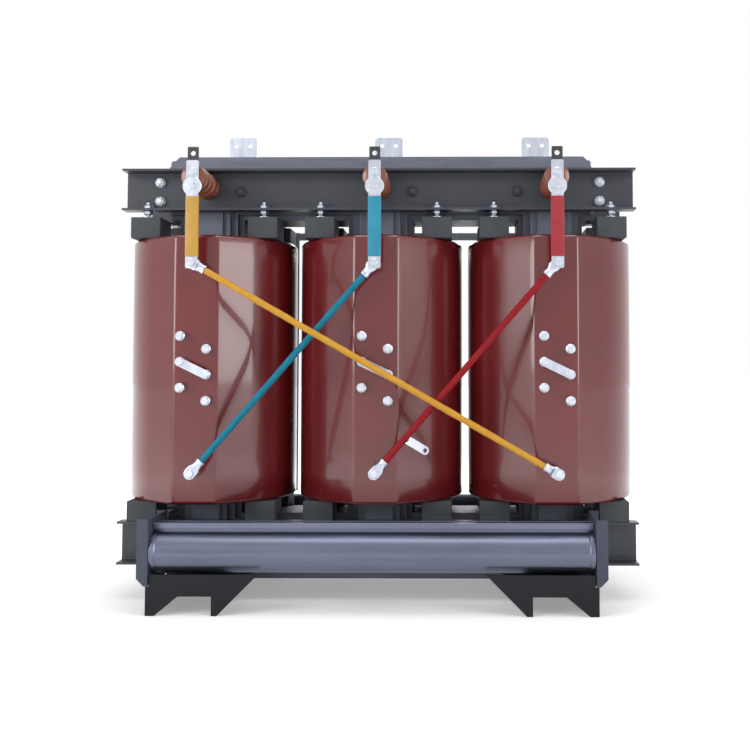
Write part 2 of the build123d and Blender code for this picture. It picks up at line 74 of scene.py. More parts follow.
class Paint:
    """One procedural material, built round a single Principled shader."""

    def __init__(self, name, metallic=0.0, coat=0.0, coat_roughness=0.1):
        self.material = bpy.data.materials.new(name)
        self.material.use_nodes = True
        self.tree = self.material.node_tree
        self.shader = self.tree.nodes["Principled BSDF"]
        self.shader.inputs["Metallic"].default_value = metallic
        self.shader.inputs["Coat Weight"].default_value = coat
        self.shader.inputs["Coat Roughness"].default_value = coat_roughness

    def add(self, kind, settings, values, output=0):
        """Add a node, with its settings and its inputs, and hand back one output."""
        node = self.tree.nodes.new(kind)
        for key, value in settings.items():
            setattr(node, key, value)
        for key, value in values.items():
            if isinstance(value, Wire):
                self.tree.links.new(value.socket, node.inputs[key])
            else:
                node.inputs[key].default_value = value
        return Wire(self, node.outputs[output])

    def place(self, stretch=(1, 1, 1)):
        """Object coordinates in metres, stretched along the axes."""
        here = self.add("ShaderNodeTexCoord", {}, {}, "Object")
        return self.add("ShaderNodeVectorMath", {"operation": "MULTIPLY"}, {0: here, 1: stretch})

    def cloud(self, scale, detail=3.0, stretch=(1, 1, 1)):
        values = {"Vector": self.place(stretch), "Scale": scale, "Detail": detail}
        return self.add("ShaderNodeTexNoise", {}, values)

    def clip(self, wire, low, high):
        """The wire mapped from low..high to 0..1."""
        return self.add("ShaderNodeMapRange", {}, {0: wire, 1: low, 2: high})

    def blend(self, mask, first, second):
        values = {0: mask, 6: first, 7: second}
        return self.add("ShaderNodeMix", {"data_type": "RGBA"}, values, 2)

    def feed(self, colour, roughness, height=None, depth=0.001, strength=0.4):
        """Wire up or set the colour and roughness, and a bump where a height is given."""
        if height is not None:
            values = {"Strength": strength, "Distance": depth, "Height": height}
            bump = self.add("ShaderNodeBump", {}, values)
            self.tree.links.new(bump.socket, self.shader.inputs["Normal"])
        for key, value in (("Base Color", colour), ("Roughness", roughness)):
            if isinstance(value, Wire):
                self.tree.links.new(value.socket, self.shader.inputs[key])
            else:
                self.shader.inputs[key].default_value = value


def colour(red, green, blue):
    """An sRGB colour, 0 to 255, as the linear value that a shader takes."""
    def linear(part):
        part = part / 255
        return part / 12.92 if part < 0.04045 else ((part + 0.055) / 1.055) ** 2.4
    return (linear(red), linear(green), linear(blue), 1.0)


def dress(paint, *names):
    """Give CAD nodes their finish."""
    for name in names:
        mesh = nodes[name].data
        mesh.materials.clear()
        mesh.materials.append(paint.material)


core_varnish = Paint("core_varnish", metallic=0.35)
sheets = core_varnish.cloud(14, 4, (0.4, 26, 0.4))
brush_marks = core_varnish.cloud(30, 4)
core_varnish.feed(
    core_varnish.blend(sheets * 0.6 + brush_marks * 0.4, colour(78, 82, 92), colour(126, 130, 146)),
    0.38 + 0.25 * brush_marks, sheets, 0.002, 0.5,
)
dress(core_varnish, "core_bottom_yoke", "core_top_yoke", *[f"core_limb_{n}" for n in phase_names])


# ---- Press boards ----
# Sheets of pressboard lie between each yoke and its clamps, so that the steel is not shorted.
# They are plain brown board, darkened by varnish.
board = Paint("varnished_board")
fibre = board.cloud(90, 5, (1, 1, 3))
board.feed(board.blend(fibre, colour(70, 58, 44), colour(112, 94, 70)), 0.7, fibre, 0.0008)
dress(board, "yoke_press_boards")


# ---- Clamps ----
# Folded steel channels press the yokes between them and carry everything else.
# They are painted a satin dark grey, with a faint orange peel and a slow random mottle of tone.
clamp_paint = Paint("clamp_paint", coat=0.15, coat_roughness=0.3)
peel = clamp_paint.cloud(420, 2)
tone = clamp_paint.cloud(5, 3)
clamp_paint.feed(
    clamp_paint.blend(tone, colour(40, 43, 50), colour(60, 63, 73)),
    0.36 + 0.16 * tone, peel, 0.0004, 0.25,
)
for level in ("upper", "lower"):
    dress(clamp_paint, f"clamp_{level}_front", f"clamp_{level}_rear")


# ---- Clamp bolts ----
# Zinc-plated bolts with washers and hexagon nuts draw the clamps together at the ends
# and through the yokes. The yoke bolts were painted over with the clamps.
mm = 0.001
end_bolt_x = 640 * mm
end_bolt_rise = 28 * mm
yoke_bolt_places = (-404 * mm, 96 * mm, 400 * mm)
bolt_radius = 8 * mm
bolt_nut_width = 24 * mm
bolt_nut_height = 10 * mm


class Shell:
    """A mesh under construction: turned, hexagonal and boxed shapes are added to it."""

    def __init__(self):
        self.mesh = bmesh.new()

    def rings(self, loops, closed=False):
        """Skin a run of loops with the same number of points; a loop of one point is a pole."""
        made = [[self.mesh.verts.new(point) for point in loop] for loop in loops]
        pairs = list(zip(made, made[1:]))
        if closed:
            pairs.append((made[-1], made[0]))
        for first, second in pairs:
            count = max(len(first), len(second))
            for i in range(count):
                j = (i + 1) % count
                if len(first) == 1:
                    self.mesh.faces.new((first[0], second[j], second[i]))
                elif len(second) == 1:
                    self.mesh.faces.new((first[i], first[j], second[0]))
                else:
                    self.mesh.faces.new((first[i], first[j], second[j], second[i]))

    def turned(self, base, axis, profile, segments=28, spin=0.0):
        """Turn (distance, radius) pairs about an axis; both ends close on the axis."""
        axis = Vector(axis).normalized()
        side = axis.orthogonal().normalized()
        other = axis.cross(side)
        base = Vector(base)
        loops = []
        for along, radius in profile:
            centre = base + axis * along
            if radius == 0:
                loops.append([centre])
                continue
            loop = []
            for i in range(segments):
                angle = spin + math.tau * i / segments
                loop.append(centre + (side * math.cos(angle) + other * math.sin(angle)) * radius)
            loops.append(loop)
        self.rings(loops)

    def pin(self, base, axis, length, radius, edge=0.0008, segments=28):
        """A round pin or washer with softened rims."""
        self.turned(base, axis, (
            (0, 0), (0, radius - edge), (edge, radius), (length - edge, radius),
            (length, radius - edge), (length, 0)), segments)

    def nut(self, base, axis, length, width, spin=0.3):
        """A hexagon nut or head, width across flats, with its corners turned off."""
        corner = width / math.sqrt(3)
        self.turned(base, axis, (
            (0, 0), (0, corner * 0.9), (length * 0.12, corner), (length * 0.84, corner),
            (length, corner * 0.86), (length, 0)), 6, spin)

    def block(self, low, high, edge=0.0):
        """A box between two corners, with rounded edges."""
        made = bmesh.ops.create_cube(self.mesh, size=1.0)["verts"]
        size = Vector(high) - Vector(low)
        middle = (Vector(high) + Vector(low)) / 2
        for vert in made:
            vert.co = middle + Vector(a * b for a, b in zip(vert.co, size))
        if edge:
            edges = list({e for vert in made for e in vert.link_edges})
            bmesh.ops.bevel(
                self.mesh, geom=edges, offset=edge, segments=3, profile=0.6, affect="EDGES")

    def piece(self, name, paint, slot, *replaced, crease=32):
        """Finish the mesh as one piece that stands for the named CAD nodes."""
        bmesh.ops.recalc_face_normals(self.mesh, faces=self.mesh.faces)
        for face in self.mesh.faces:
            face.smooth = True
        for edge in self.mesh.edges:
            edge.smooth = edge.is_manifold and edge.calc_face_angle(0) < math.radians(crease)
        mesh = bpy.data.meshes.new(name)
        self.mesh.to_mesh(mesh)
        self.mesh.free()
        made = bpy.data.objects.new(name, mesh)
        bpy.context.scene.collection.objects.link(made)
        mesh.materials.append(paint.material)
        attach(made, "root")
        if replaced:
            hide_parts(*replaced)


zinc = Paint("zinc_plate", metallic=1.0)
bloom = zinc.cloud(160, 4)
zinc.feed(
    zinc.blend(bloom, colour(176, 182, 196), colour(222, 226, 234)),
    0.24 + 0.22 * bloom, zinc.cloud(500, 2), 0.0003, 0.3,
)

upper_low, upper_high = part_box("clamp_upper_front")
lower_low, lower_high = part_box("clamp_lower_front")
upper_middle = (upper_low.z + upper_high.z) / 2
lower_middle = (lower_low.z + lower_high.z) / 2
bolt_grip = -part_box("hv_post_left")[1].y


def clamp_bolt(shell, x, z):
    """A stud through both clamps with a washer, a nut and a thread end on each side."""
    for side in (-1, 1):
        out = (0, side, 0)
        face = Vector((x, side * bolt_grip, z))
        shell.pin(face, out, 3 * mm, 15 * mm)
        shell.nut(face + Vector(out) * 3 * mm, out, bolt_nut_height, bolt_nut_width)
        shell.pin(face + Vector(out) * 12 * mm, out, 5 * mm, bolt_radius, 1.4 * mm)
    shell.pin((x, -bolt_grip, z), (0, 1, 0), 2 * bolt_grip, bolt_radius)


end_bolts = Shell()
painted_bolts = Shell()
for z in (lower_middle, upper_middle):
    for x in (-end_bolt_x, end_bolt_x):
        for rise in (-end_bolt_rise, end_bolt_rise):
            clamp_bolt(end_bolts, x, z + rise)
    for x in yoke_bolt_places:
        clamp_bolt(painted_bolts, x, z)
end_bolts.piece("clamp_end_bolts", zinc, "zinc", "clamp_bolts")
painted_bolts.piece("clamp_yoke_bolts", clamp_paint, "clamp_paint", "clamp_bolts")


# ---- Low-voltage coils ----
# Foil windings sit next to the limbs, their ends sealed with a satin dark red resin.
# Only their rims show, above and below the outer coils.
lv_resin = Paint("lv_resin", coat=0.2)
lv_tone = lv_resin.cloud(40, 4, (1, 1, 0.2))
lv_resin.feed(lv_resin.blend(lv_tone, colour(64, 20, 22), colour(98, 34, 36)), 0.42, lv_tone, 0.001)
dress(lv_resin, *[f"lv_coil_{name}" for name in phase_names])


# ---- High-voltage coils ----
# Each outer coil is cast under vacuum in dark red epoxy, in a mould with a flat front panel
# for the taps. The skin is glossy, with slow waves left by the mould sheets.
phases = (-0.5, 0.0, 0.5)
coil_resin = Paint("coil_resin", coat=0.55, coat_roughness=0.06)
depth_tone = coil_resin.cloud(3.2, 3)
flecks = coil_resin.cloud(240, 3)
waves = coil_resin.cloud(5.0, 1.5, (1, 1, 0.45))
coil_resin.feed(
    coil_resin.blend(depth_tone * 0.75 + flecks * 0.25, colour(88, 17, 21), colour(118, 30, 34)),
    0.2 + 0.12 * depth_tone, waves + 0.02 * flecks, 0.012, 0.35,
)
coil_low, coil_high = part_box("hv_coil_left")
coil_radius = (coil_high.x - coil_low.x) / 2
coil_bore = 185 * mm
panel_half = 59 * mm
panel_front = 252 * mm


def coil_outline():
    """The coil's plan as (point, outward normal) pairs: panel, flanks and round back."""
    reach = math.hypot(panel_half, panel_front)
    turn = math.atan2(panel_half, panel_front) + math.acos(coil_radius / reach)
    corner = Vector((panel_half, -panel_front))
    tangent = Vector((math.sin(turn), -math.cos(turn))) * coil_radius
    flank = (tangent - corner).normalized()
    soft = 7 * mm
    right = []
    for i in range(5):
        right.append(Vector((panel_half - soft, -panel_front)) * (i / 4))
        right[-1].y = -panel_front
    for i in range(1, 6):
        t = i / 6
        start = corner - Vector((soft, 0))
        end = corner + flank * soft
        right.append(start * (1 - t) ** 2 + corner * (2 * t * (1 - t)) + end * t * t)
    for i in range(9):
        right.append((corner + flank * soft).lerp(tangent, i / 9))
    steps = 56    # points round the back
    for i in range(steps + 1):
        angle = turn + (math.pi - turn) * i / steps
        right.append(Vector((math.sin(angle), -math.cos(angle))) * coil_radius)
    points = right + [Vector((-p.x, p.y)) for p in reversed(right[1:-1])]
    pairs = []
    for i, point in enumerate(points):
        along = (points[(i + 1) % len(points)] - points[i - 1]).normalized()
        pairs.append((point, Vector((along.y, -along.x))))
    return pairs


def hv_coil(x, name):
    """A cast ring on the coil's plan, with rounded rims and a round bore."""
    low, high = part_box(f"hv_coil_{name}")
    outline = coil_outline()

    def loop(inset, z):
        return [Vector((x + p.x - n.x * inset, p.y - n.y * inset, z)) for p, n in outline]

    def bore(radius, z):
        return [Vector((x + p.x / p.length * radius, p.y / p.length * radius, z)) for p, n in outline]

    rim = 10 * mm
    lip = 22 * mm
    mouth = coil_bore + 6 * mm
    profile = [(rim, 0), (rim * 0.72, rim * 0.12), (rim * 0.4, rim * 0.36)]
    profile += [(rim * 0.14, rim * 0.68), (0, rim)]
    bands = 10
    walls = [low.z + rim + (high.z - low.z - 2 * rim) * i / bands for i in range(1, bands)]
    loops = [bore(mouth, low.z), loop(lip, low.z), loop(rim * 1.2, low.z)]
    loops += [loop(inset, low.z + rise) for inset, rise in profile]
    loops += [loop(0, z) for z in walls]
    loops += [loop(inset, high.z - rise) for inset, rise in reversed(profile)]
    loops += [loop(rim * 1.2, high.z), loop(lip, high.z), bore(mouth, high.z)]
    loops += [bore(coil_bore, high.z - 5 * mm), bore(coil_bore, low.z + 5 * mm)]
    shell = Shell()
    shell.rings(loops, closed=True)
    shell.piece(f"cast_coil_{name}", coil_resin, "coil_resin", f"hv_coil_{name}", crease=50)


for x, name in zip(phases, phase_names):
    hv_coil(x, name)


# ---- Pads and pressure studs ----
# Moulded dark grey blocks carry the coils on the lower clamps and hold them down from above.
# A threaded zinc-plated stud with two nuts presses on each top block.
pad_rubber = Paint("pad_rubber")
grit = pad_rubber.cloud(300, 4)
pad_rubber.feed(
    pad_rubber.blend(pad_rubber.cloud(18, 3), colour(44, 48, 53), colour(66, 70, 77)),
    0.55 + 0.2 * grit, grit, 0.0008, 0.4,
)
bottom_pads = Shell()
top_pads = Shell()
studs = Shell()
bottom_low, bottom_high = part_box("bottom_support_pads")
top_low, top_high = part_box("top_support_pads")
stud_low, stud_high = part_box("pressure_studs")
pad_offset = 168 * mm
pad_half = 42.5 * mm
pad_inner_y = 60 * mm
pad_outer_y = 170 * mm
pad_step_y = 117.5 * mm
pad_step = 236 * mm
pad_edge = 3 * mm
stud_y = 145 * mm
thread_pitch = 2 * mm
thread_root = 7.1 * mm
up = (0, 0, 1)
for x in phases:
    for offset in (-pad_offset, pad_offset):
        for side in (-1, 1):
            near = side * pad_inner_y
            far = side * pad_outer_y
            step = side * pad_step_y
            y0, y1 = sorted((near, far))
            s0, s1 = sorted((step, far))
            left = x + offset - pad_half
            right = x + offset + pad_half
            bottom_pads.block((left, y0, pad_step), (right, y1, bottom_high.z), pad_edge)
            bottom_pads.block((left, s0, bottom_low.z), (right, s1, pad_step + 4 * mm), pad_edge)
            top_pads.block((left, y0, top_low.z), (right, y1, top_high.z), pad_edge)
            foot = Vector((x + offset, side * stud_y, top_high.z))
            studs.pin(foot, up, 3 * mm, 17 * mm)
            tip = stud_high.z - top_high.z
            turns = [(0, 0), (0, bolt_radius)]
            for i in range(int((tip - 10 * mm) / thread_pitch)):
                groove = i * thread_pitch + 0.5 * thread_pitch
                turns += [(groove, thread_root), ((i + 1) * thread_pitch, bolt_radius)]
            turns += [(tip - 8 * mm, 7 * mm), (tip, 0)]
            studs.turned(foot, up, turns, 20)
            for bottom in (upper_low.z - 10 * mm, upper_low.z + 6 * mm):
                studs.nut((foot.x, foot.y, bottom), up, bolt_nut_height, bolt_nut_width)
bottom_pads.piece("bottom_pad_blocks", pad_rubber, "pad", "bottom_support_pads")
top_pads.piece("top_pad_blocks", pad_rubber, "pad", "top_support_pads")
studs.piece("coil_pressure_studs", zinc, "zinc", "pressure_studs")


# ---- High-voltage posts ----
# Brown epoxy post insulators stand out from the upper front clamp, one for each phase.
# They are round castings with three shallow sheds, and carry the bars off the coils.
post_resin = Paint("post_resin", coat=0.4, coat_roughness=0.12)
post_tone = post_resin.cloud(26, 3)
post_resin.feed(
    post_resin.blend(post_tone, colour(104, 52, 34), colour(146, 82, 58)),
    0.24 + 0.14 * post_tone, post_resin.cloud(120, 2), 0.0006, 0.25,
)


def post(name, node):
    """A post between the two faces of its CAD node, which it replaces."""
    low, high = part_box(node)
    front = low.y < 0
    base = Vector(((low.x + high.x) / 2, high.y if front else low.y, (low.z + high.z) / 2))
    out = (0, -1, 0) if front else (0, 1, 0)
    length = high.y - low.y
    shed_radius = (high.x - low.x) / 2 - 0.3 * mm
    waist = 27 * mm
    profile = [(0, 0), (0, shed_radius - 2 * mm), (2 * mm, shed_radius), (11 * mm, shed_radius)]
    profile += [(15 * mm, waist + 3 * mm), (18 * mm, waist)]
    pitch = (length - 44 * mm) / 3
    for i in range(3):
        start = 22 * mm + pitch * i
        profile += [
            (start + 0.30 * pitch, waist), (start + 0.42 * pitch, waist + 1.5 * mm),
            (start + 0.60 * pitch, shed_radius - 2 * mm), (start + 0.68 * pitch, shed_radius),
            (start + 0.78 * pitch, shed_radius - 1 * mm), (start + 0.84 * pitch, waist + 2 * mm),
            (start + 0.92 * pitch, waist),
        ]
    profile += [(length - 14 * mm, waist), (length - 10 * mm, waist + 4 * mm)]
    profile += [(length - 8 * mm, shed_radius - 1 * mm), (length - 1 * mm, shed_radius - 1 * mm)]
    profile += [(length, shed_radius - 2 * mm), (length, 0)]
    shell = Shell()
    shell.turned(base, out, profile, 56)
    shell.piece(name, post_resin, "post_resin", node, crease=50)


for name in phase_names:
    post(f"hv_post_casting_{name}", f"hv_post_{name}")


# ---- High-voltage bars, tabs and their bolts ----
# Tinned copper bars rise from the coil terminals to the posts. A dark grey tab with a round
# hole takes the incoming cable, and a broad zinc disc under the lower bolt spreads its load.
tinned = Paint("tinned_copper", metallic=1.0)
streaks = tinned.cloud(60, 4, (1, 1, 0.25))
tinned.feed(
    tinned.blend(streaks, colour(168, 174, 190), colour(214, 218, 228)),
    0.26 + 0.2 * streaks, streaks, 0.0004, 0.25,
)
# The tab is dark grey all over, with a random mottle of tone.
dark_tab_finish = Paint("dark_tab_finish")
tab_tone = dark_tab_finish.cloud(60, 3)
dark_tab_finish.feed(dark_tab_finish.blend(tab_tone, colour(38, 40, 46), colour(62, 66, 74)), 0.42, tab_tone, 0.0005)
for name in phase_names:
    dress(tinned, f"hv_bar_{name}")
    dress(dark_tab_finish, f"hv_tab_{name}")

bar_low, bar_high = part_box("hv_bar_left")
post_fixings = Shell()
forward = (0, -1, 0)
post_bolts = ((1152 * mm, 26 * mm), (1192 * mm, 11 * mm))    # height, washer radius
for x in phases:
    for z, washer in post_bolts:
        face = Vector((x, bar_low.y, z))
        post_fixings.turned(face, forward, (
            (0, 0), (0, washer), (2.2 * mm, washer), (3 * mm, washer - 1 * mm),
            (3 * mm, washer * 0.55), (3.1 * mm, washer * 0.5), (3.1 * mm, 0)), 48)
        post_fixings.nut(face + Vector(forward) * 3 * mm, forward, 6.8 * mm, 16 * mm)
post_fixings.piece("hv_post_fixings", zinc, "zinc", "hv_post_bolts")


# ---- Coloured sleeves ----
# Heat-shrink sleeve in the phase's colour covers each bar and each delta link.
# It has shrunk a little unevenly, so its skin is wrinkled and its sheen soft.
def sleeve_paint(name, dark, light):
    """Shrink sleeve between two tones, with a fine wrinkled bump."""
    paint = Paint(name, coat=0.1, coat_roughness=0.35)
    shade = paint.cloud(34, 4)
    crinkle = paint.cloud(150, 3)
    paint.feed(paint.blend(shade, dark, light), 0.4 + 0.16 * shade, crinkle, 0.0012, 0.5)
    return paint


sleeves = {
    "yellow": sleeve_paint("sleeve_yellow", colour(176, 132, 50), colour(210, 166, 76)),
    "blue": sleeve_paint("sleeve_blue", colour(24, 118, 146), colour(52, 156, 184)),
    "red": sleeve_paint("sleeve_red", colour(138, 26, 38), colour(172, 46, 56)),
}


def bar_sleeve(x, name):
    """A flat shrunk tube whose skin is drawn in and out slightly along its length."""
    low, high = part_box(f"bar_sleeve_{name}")
    half = Vector(((high.x - low.x) / 2, (high.y - low.y) / 2))
    centre = Vector(((high.x + low.x) / 2, (high.y + low.y) / 2))
    corner = 2.2 * mm
    loops = []
    steps = 44
    for i in range(steps + 1):
        z = low.z + (high.z - low.z) * i / steps
        shrink = 0.35 * mm * (1 + noise.noise(Vector((x * 7, z * 60, 0))))
        if i in (0, steps):
            shrink += 0.5 * mm
        loop = []
        for cx, cy, start in ((1, 1, 0), (-1, 1, 90), (-1, -1, 180), (1, -1, 270)):
            for turn in (0, 30, 60, 90):
                angle = math.radians(start + turn)
                px = cx * (half.x - corner) + math.cos(angle) * (corner - shrink * 0.9)
                py = cy * (half.y - corner) + math.sin(angle) * (corner - shrink * 0.9)
                loop.append(Vector((centre.x + px, centre.y + py, z)))
        loops.append(loop)
    sole = [centre.to_3d() + Vector((0, 0, low.z))]
    lid = [centre.to_3d() + Vector((0, 0, high.z))]
    shell = Shell()
    shell.rings([sole] + loops + [lid])
    shell.piece(
        f"shrunk_bar_sleeve_{name}", sleeves[name], f"sleeve_{name}", f"bar_sleeve_{name}",
        crease=50)


for x, name in zip(phases, sleeves):
    bar_sleeve(x, name)


# ---- Delta links ----
# Sleeved copper rods join the top terminal of each coil to the bottom terminal of another.
# Pressed tinned lugs close both ends; their barrels are crimped.
terminal_top = 942 * mm
terminal_bottom = 367 * mm
link_radius = 10 * mm
lug_length = 46 * mm
delta_links = (
    ("yellow", phases[0], phases[2]),
    ("blue", phases[1], phases[0]),
    ("red", phases[2], phases[1]),
)


def frame_about(direction):
    """Two unit vectors square to a direction and to each other."""
    side = Vector((0, 1, 0)).cross(direction).normalized()
    return side, direction.cross(side).normalized()


# Deeper copies of the sleeve colours for the round rods. This is painted shade that offsets the top
# light and the broad highlight they catch.
shaded_link_skins = {
    "yellow": sleeve_paint("link_yellow", colour(196, 140, 46), colour(220, 168, 70)),
    "blue": sleeve_paint("link_blue", colour(18, 104, 130), colour(34, 136, 162)),
    "red": sleeve_paint("link_red", colour(132, 18, 28), colour(158, 34, 44)),
}
for skin in shaded_link_skins.values():
    skin.shader.inputs["Specular IOR Level"].default_value = 0.15
    skin.shader.inputs["Coat Weight"].default_value = 0


def delta_link(name, x_top, x_bottom):
    """A sleeved rod between two lugs, pinched and swayed a little along its run."""
    low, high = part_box(f"delta_link_{name}")
    y = (low.y + high.y) / 2
    top = Vector((x_top, y, terminal_top))
    bottom = Vector((x_bottom, y, terminal_bottom))
    way = (bottom - top).normalized()
    start = top + way * lug_length
    run = (bottom - top).length - 2 * lug_length
    side, other = frame_about(way)
    loops = [[start]]
    steps = int(run / (4 * mm))
    for i in range(steps + 1):
        along = run * i / steps
        pinch = 0.7 * mm * noise.noise(Vector((along * 38, x_top, 1)))
        pinch += 0.45 * mm * noise.noise(Vector((along * 120, x_top, 4)))
        radius = link_radius - 1.0 * mm + pinch
        if i in (0, steps):
            radius -= 1.2 * mm
        sway = 0.5 * mm * noise.noise(Vector((along * 9, x_top, 7)))
        centre = start + way * along + side * sway
        loop = []
        for k in range(20):
            angle = math.tau * k / 20
            spot = Vector((math.cos(angle), math.sin(angle), along * 60))
            ripple = 0.25 * mm * noise.noise(spot)
            out = side * math.cos(angle) + other * math.sin(angle)
            loop.append(centre + out * (radius + ripple))
        loops.append(loop)
    loops.append([start + way * run])
    shell = Shell()
    shell.rings(loops)
    shell.piece(
        f"shrunk_link_{name}", shaded_link_skins[name], f"sleeve_{name}", f"delta_link_{name}",
        crease=50)


for name, x_top, x_bottom in delta_links:
    delta_link(name, x_top, x_bottom)
lug_thickness = 4 * mm
lug_plates = {
    "yellow": bar_low.y,
    "blue": bar_high.y + lug_thickness,
    "red": bar_high.y + lug_thickness,
}
lugs = Shell()


def lug(palm_back, rod_y, terminal, way):
    """A flat palm round the terminal that rolls into a crimped barrel."""
    side, other = frame_about(way)
    if other.y > 0:
        side, other = -side, -other
    palm = 28 * mm
    half = 15.5 * mm
    barrel = link_radius - 1 * mm
    centre = Vector((terminal.x, 0, terminal.z))
    loops = []
    spots = [(-half, 0.02), (-half * 0.92, 0.4), (-half * 0.7, 0.72), (-half * 0.38, 0.93)]
    spots += [(0, 1.0), (palm * 0.4, 1.0), (palm * 0.6, 0.98)]
    points = 24
    for along, share in spots:
        loop = []
        for k in range(points):
            angle = math.tau * k / points
            flat = max(-1, min(1, 1.4 * math.cos(angle)))
            thick = max(-1, min(1, 1.9 * math.sin(angle)))
            point = centre + way * along + side * flat * half * share
            point.y = palm_back - 2 * mm - 1.9 * mm * thick
            loop.append(point)
        loops.append(loop)
    crimp = (
        (palm - 2 * mm, 0), (palm + 3 * mm, 0), (palm + 5 * mm, 1), (palm + 8 * mm, 1),
        (palm + 10 * mm, 0), (palm + 14 * mm, 0), (palm + 17.6 * mm, 0),
    )
    for along, squeeze in crimp:
        loop = []
        for k in range(points):
            angle = math.tau * k / points
            radius = barrel - 0.9 * mm * squeeze
            point = centre + way * along + side * math.cos(angle) * (radius + 3.5 * mm)
            point.y = rod_y - math.sin(angle) * radius
            loop.append(point)
        loops.append(loop)
    first = sum(loops[0], Vector()) / points
    last = sum(loops[-1], Vector()) / points
    lugs.rings([[first]] + loops + [[last]])


for name, x_top, x_bottom in delta_links:
    low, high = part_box(f"delta_link_{name}")
    y = (low.y + high.y) / 2
    top = Vector((x_top, 0, terminal_top))
    bottom = Vector((x_bottom, 0, terminal_bottom))
    way = (bottom - top).normalized()
    lug(lug_plates[name], y, top, way)
    lug(lug_plates[name], y, bottom, -way)
lugs.piece("crimped_lugs", tinned, "tinned_copper", "delta_lugs", crease=40)


# ---- Coil terminals and tap field ----
# Plated metal inserts are cast into the panel. Hexagon bolts close them, and a flat link
# joins the middle pair of taps. One spare link is stowed on the middle coil's flank.
terminals = Shell()
link_names = {x_top: name for name, x_top, x_bottom in delta_links}
bottom_names = {x_bottom: name for name, x_top, x_bottom in delta_links}
for x in phases:
    for z, name in ((terminal_top, link_names[x]), (terminal_bottom, bottom_names[x])):
        plate = lug_plates[name]
        head = plate - lug_thickness
        if z == terminal_top:
            head = min(head, bar_low.y)
        shoulder = bar_high.y if (z == terminal_top and name == "yellow") else plate
        face = Vector((x, -panel_front, z))
        terminals.turned(face, forward, (
            (0, 0), (0, 15 * mm), (-shoulder - panel_front - 3 * mm, 15 * mm),
            (-shoulder - panel_front, 13 * mm), (-shoulder - panel_front, 0)), 40)
        terminals.pin((x, head + 0.2 * mm, z), forward, 1.6 * mm, 11.5 * mm, 0.4 * mm, 36)
        terminals.nut((x, head - 1.2 * mm, z), forward, 7.6 * mm, 19.6 * mm)
terminals.piece("coil_terminals", zinc, "zinc", "hv_terminal_studs")

taps = Shell()
tap_reach = 23 * mm
tap_columns = ((-36 * mm, (742, 671, 600)), (36 * mm, (706.5, 636, 564)))    # x, heights in mm
tap_radius = 13.8 * mm
link_thickness = 4 * mm
linked_row = 1
for x in phases:
    for dx, rows in tap_columns:
        for row, z in enumerate(rows):
            raised = link_thickness if row == linked_row else 0
            face = Vector((x + dx, -panel_front, z * mm))
            taps.turned(face, forward, (
                (0, 0), (0, tap_radius), (tap_reach - 3 * mm, tap_radius),
                (tap_reach - 1 * mm, 13 * mm), (tap_reach, 11.6 * mm), (tap_reach, 0)), 40)
            seat = face + Vector(forward) * (tap_reach + raised)
            taps.turned(seat, forward, (
                (0, 0), (0, 11.4 * mm), (1 * mm, 11.4 * mm), (1.6 * mm, 10.6 * mm),
                (1.6 * mm, 0)), 36)
            taps.nut(seat + Vector(forward) * 1.4 * mm, forward, 7.4 * mm, 19.4 * mm, 0.3 + x + z)
taps.piece("tap_bolts", zinc, "zinc", "tap_studs")
dress(tinned, "tap_links")


# ---- Low-voltage busbars ----
# Folded tinned copper bars leave the inner coils under the rear clamp and rise behind it,
# held off by brown posts. The start risers run down the back to a neutral bar.
for name in phase_names:
    dress(tinned, f"lv_riser_{name}", f"lv_start_riser_{name}")
    post(f"lv_post_casting_{name}", f"lv_post_{name}")
dress(tinned, "lv_neutral_bar")


# ---- Cooling fans ----
# A long round casing lies across the front and another across the back, with a slatted outlet
# along its top that blows up through the coils. The casing is bent round from bright coated sheet, and
# lighter bands along it are painted reflections of the lamps.
fan_coat = Paint("fan_casing", metallic=0.85, coat=0.2, coat_roughness=0.15)
# Bands that run along the casing: the lighter ones are a painted reflection of the lamps. The same bands
# also set roughness and bump.
reflection_bands = fan_coat.cloud(26, 3, (0.12, 1, 1))
fan_coat.feed(
    fan_coat.blend(reflection_bands, colour(88, 93, 110), colour(118, 123, 146)),
    0.26 + 0.14 * reflection_bands, reflection_bands, 0.0006, 0.2,
)
fan_radius = 55.5 * mm
fan_axis_y = 295 * mm
outlet_depth = 28 * mm
outlet_foot = 45 * mm     # outlet walls start this far above the axis
outlet_wall = 3 * mm
lip_reach = 16 * mm
lip_height = 17 * mm
slat_pitch = 19 * mm
slat_half = 0.8 * mm


